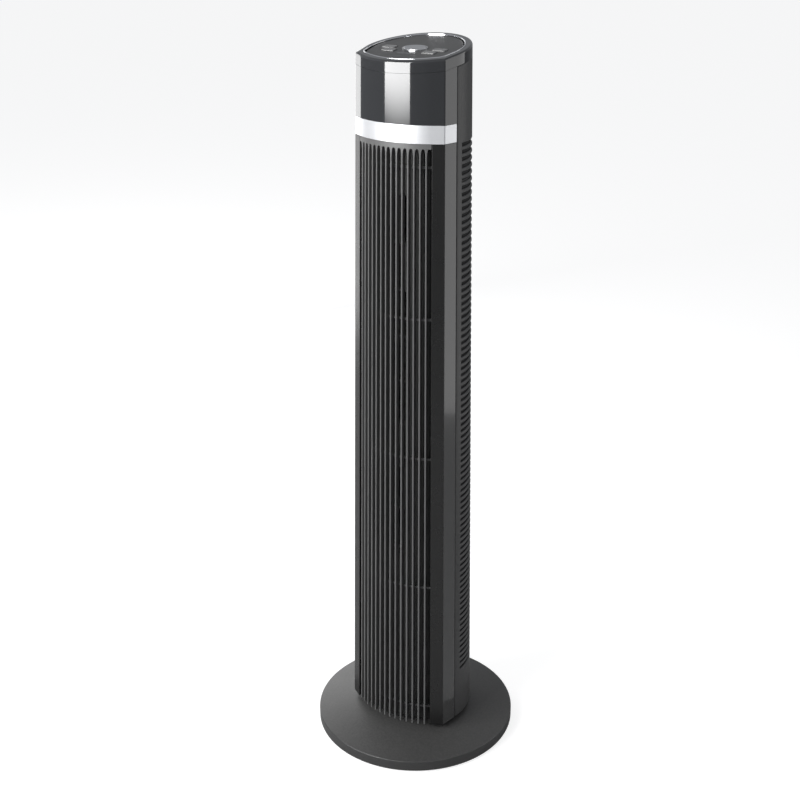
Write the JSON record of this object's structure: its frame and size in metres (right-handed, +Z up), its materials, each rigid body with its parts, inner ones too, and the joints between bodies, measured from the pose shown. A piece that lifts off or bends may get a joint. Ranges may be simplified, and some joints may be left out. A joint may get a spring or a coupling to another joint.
{
  "type": "tower fan",
  "caption": "Tall oscillating tower fan: tapered louvred housing with an upright-fin grille, silver band, sloped control top and a round weighted base.",
  "frame": {"origin": "on the floor under the middle of the round base", "axes": "+Z up along the tower, -Y the way the air blows at rest, +X to the right as seen from the front"},
  "size_m": [0.234, 0.234, 0.8007],
  "materials": {
    "base_satin": "satin dark grey moulded plastic",
    "housing_satin": "satin dark grey moulded plastic, fine grain",
    "grille_satin": "satin black moulded plastic",
    "frame_satin": "satin black moulded plastic",
    "trim_gloss": "gloss dark grey plastic",
    "head_gloss": "high gloss black plastic",
    "band_silver": "satin silver",
    "panel_satin": "satin dark grey",
    "bright_trim": "bright plated",
    "key_grey": "semi-gloss grey",
    "button_silver": "silver lacquer",
    "lens_smoke": "smoked clear",
    "rubber_black": "soft rubber",
    "filter_foam": "black open-cell foam",
    "wheel_black": "satin black plastic",
    "steel_plain": "turned steel",
    "steel_zinc": "zinc plated",
    "bronze_bush": "sintered bronze",
    "copper_wire": "enamelled copper",
    "core_steel": "laminated core",
    "weight_iron": "painted iron",
    "acetal_white": "natural acetal",
    "inner_black": "moulded black, inside",
    "board_green": "circuit board",
    "parts_dark": "electronic parts"
  },
  "bodies": {
    "base": {"base_plate": "base_satin", "base_cover": "base_satin", "base_weight": "weight_iron", "rubber_feet": "rubber_black", "base_screws": "steel_zinc", "pivot_post": "steel_plain", "glide_ring": "acetal_white", "post_clip": "steel_zinc", "fixed_gear": "acetal_white"},
    "tower": {"board_parts": "parts_dark", "board_rails": "inner_black", "bush_holder": "rubber_black", "button_bezel": "bright_trim", "buzzer": "parts_dark", "control_board": "board_green", "control_panel": "panel_satin", "cord_gland": "inner_black", "duct_floor": "inner_black", "duct_roof": "inner_black", "dust_filter": "filter_foam", "front_frame": "frame_satin", "front_grille": "grille_satin", "head_deck": "inner_black", "head_shell": "head_gloss", "indicator_lens": "lens_smoke", "motor_bracket": "inner_black", "motor_bushes": "bronze_bush", "motor_can": "steel_zinc", "motor_cap": "steel_zinc", "motor_mounts": "rubber_black", "outlet_lip": "inner_black", "panel_rim": "bright_trim", "power_board": "board_green", "rear_housing": "housing_satin", "remote_receiver": "parts_dark", "scroll_wall": "inner_black", "side_trim_left": "trim_gloss", "side_trim_right": "trim_gloss", "silver_band": "band_silver", "stator": "core_steel", "swing_bracket": "inner_black", "swing_motor": "steel_zinc", "swivel_plate": "inner_black", "tact_switches": "parts_dark", "top_bush": "bronze_bush", "top_cap": "head_gloss", "tower_screws": "steel_zinc", "windings": "copper_wire"},
    "wheel": {"wheel_base": "wheel_black", "wheel_segments": "wheel_black", "wheel_top": "wheel_black", "rotor": "core_steel", "motor_shaft": "steel_plain"},
    "pinion": {"drive_pinion": "acetal_white", "swing_shaft": "steel_plain"},
    "power_button": {"power_button": "button_silver"},
    "speed_key": {"speed_key": "key_grey"},
    "timer_key": {"timer_key": "key_grey"},
    "swing_key": {"swing_key": "key_grey"},
    "mode_key": {"mode_key": "key_grey"}
  },
  "joints": [
    {"name": "tower_swing", "type": "hinge", "parent": "base", "child": "tower", "pos_m": [0, 0, 0.03], "axis": [0, 0, 1], "range_deg": [-35, 35]},
    {"name": "wheel_spin", "type": "hinge", "parent": "tower", "child": "wheel", "pos_m": [0, 0.008, 0.3], "axis": [0, 0, 1], "continuous": true},
    {"name": "pinion_spin", "type": "hinge", "parent": "tower", "child": "pinion", "pos_m": [0.0375, 0, 0.04], "axis": [0, 0, 1], "range_deg": [-140, 140]},
    {"name": "power_button_press", "type": "slide", "parent": "tower", "child": "power_button", "axis": [0, -0.1736, 0.9848], "range_m": [-0.001, 0], "stiffness_N_per_m": 400},
    {"name": "speed_key_press", "type": "slide", "parent": "tower", "child": "speed_key", "axis": [0, -0.1736, 0.9848], "range_m": [-0.001, 0], "stiffness_N_per_m": 400},
    {"name": "timer_key_press", "type": "slide", "parent": "tower", "child": "timer_key", "axis": [0, -0.1736, 0.9848], "range_m": [-0.001, 0], "stiffness_N_per_m": 400},
    {"name": "swing_key_press", "type": "slide", "parent": "tower", "child": "swing_key", "axis": [0, -0.1736, 0.9848], "range_m": [-0.001, 0], "stiffness_N_per_m": 400},
    {"name": "mode_key_press", "type": "slide", "parent": "tower", "child": "mode_key", "axis": [0, -0.1736, 0.9848], "range_m": [-0.001, 0], "stiffness_N_per_m": 400}
  ],
  "couplings": [
    {"joint": "pinion_spin", "follows": "tower_swing", "ratio": 4}
  ]
}
